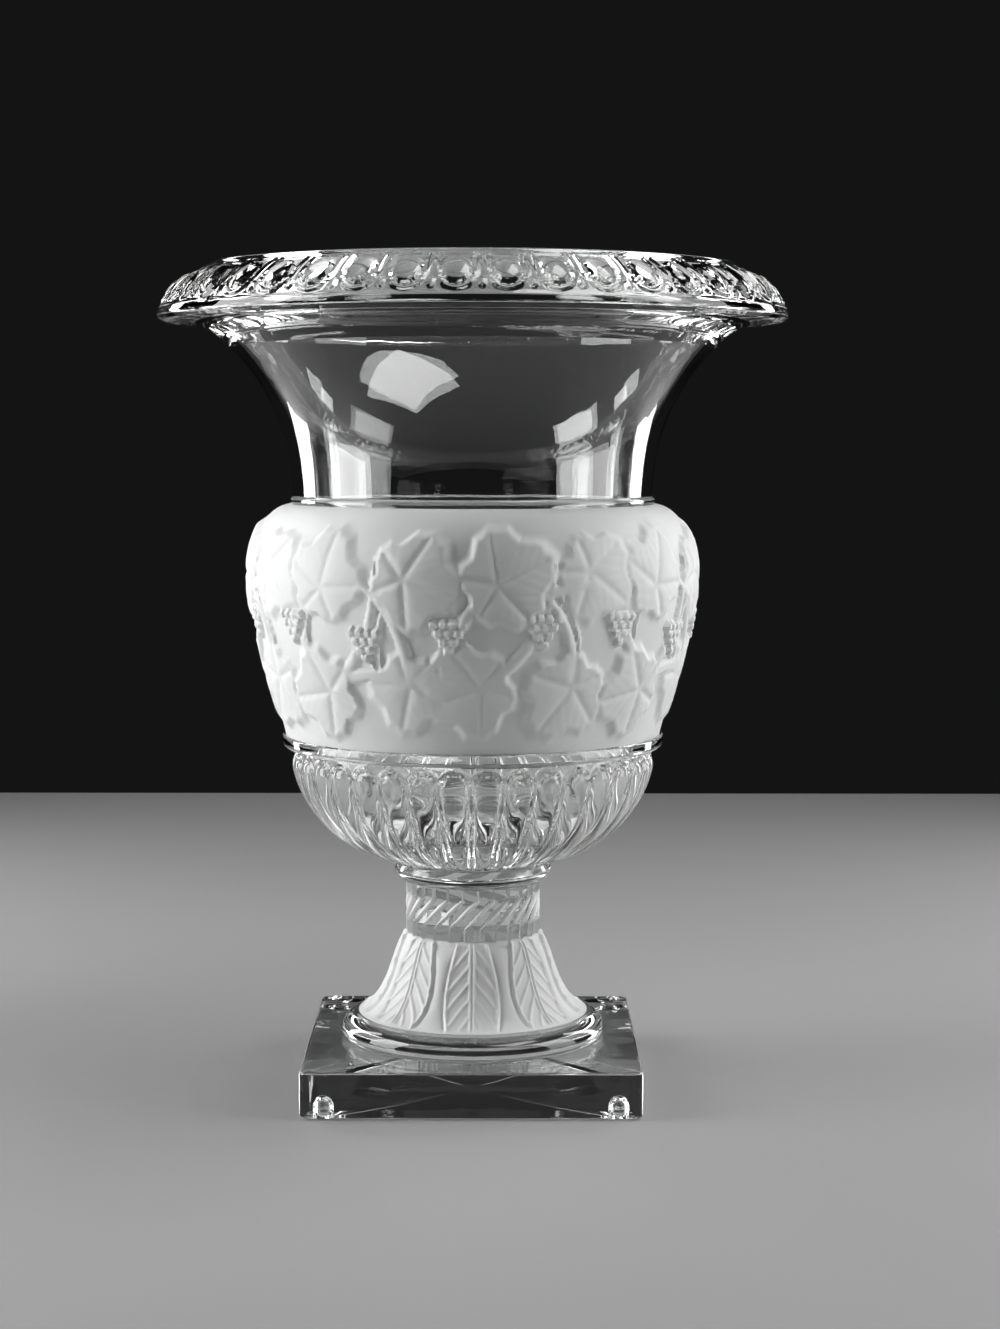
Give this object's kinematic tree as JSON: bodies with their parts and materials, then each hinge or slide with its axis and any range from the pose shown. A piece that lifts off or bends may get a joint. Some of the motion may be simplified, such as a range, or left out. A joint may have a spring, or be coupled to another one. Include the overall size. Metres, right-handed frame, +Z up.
{
  "type": "glass urn vase",
  "caption": "Footed urn vase in clear and frosted glass, with a flared beaded rim, a frosted vine frieze, a fluted bowl and a leaf-moulded foot on a square plinth.",
  "frame": {"origin": "the middle of the footprint, on the surface that the vase stands on", "axes": "+Z up along the axis of turning; +X along the plinth's front edge to the right; -Y towards the picture's camera"},
  "size_m": [0.2174, 0.2174, 0.2854],
  "materials": {
    "clear_glass": "polished clear pressed glass",
    "frosted_glass": "satin frosted glass, acid etched on the outside",
    "clear_bond": "clear cured glass adhesive",
    "clear_pad": "clear soft bumper pad"
  },
  "bodies": {
    "root": {"plinth": "clear_glass", "pad_front_left": "clear_pad", "pad_front_right": "clear_pad", "pad_rear_left": "clear_pad", "pad_rear_right": "clear_pad", "foot_bond": "clear_bond", "foot_ring": "clear_glass", "leaf_bell": "frosted_glass", "rope_stem": "clear_glass", "collar": "clear_glass", "stem_bond": "clear_bond", "fluted_bowl": "clear_glass", "bowl_ring": "clear_glass", "vine_frieze": "frosted_glass", "neck": "clear_glass", "egg_rim": "clear_glass"}
  },
  "joints": []
}
